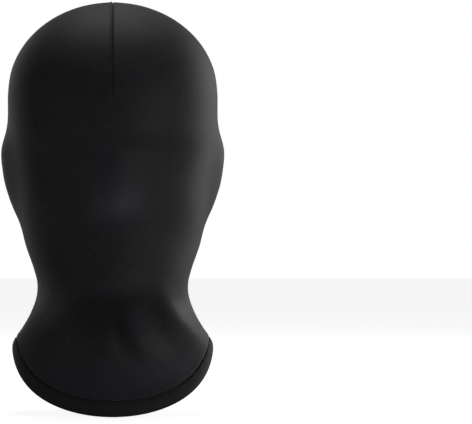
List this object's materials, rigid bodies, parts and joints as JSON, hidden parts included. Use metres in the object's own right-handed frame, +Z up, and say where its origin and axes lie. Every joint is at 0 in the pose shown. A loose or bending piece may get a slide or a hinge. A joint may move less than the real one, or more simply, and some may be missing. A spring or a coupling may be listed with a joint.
{
  "type": "full-cover stretch hood mask",
  "caption": "Full-cover knitted hood mask as worn: one crown seam from a forehead dart to the nape and a doubled band around the neck.",
  "frame": {"origin": "the point of the lining that rests on the top of the head", "axes": "+Z up, the face looks towards -Y, +X towards the wearer's left"},
  "size_m": [0.169, 0.2094, 0.3066],
  "materials": {
    "knit": "matte",
    "band_knit": "matte",
    "thread": "satin"
  },
  "bodies": {
    "root": {"hood_panel": "knit", "crown_seam_overlock": "thread", "crown_seam_needle_thread": "thread", "forehead_tack": "thread", "nape_tack": "thread", "neck_band": "band_knit", "neck_seam_needle_thread": "thread", "neck_seam_overlock": "thread", "band_join_stitches": "thread"}
  },
  "joints": []
}
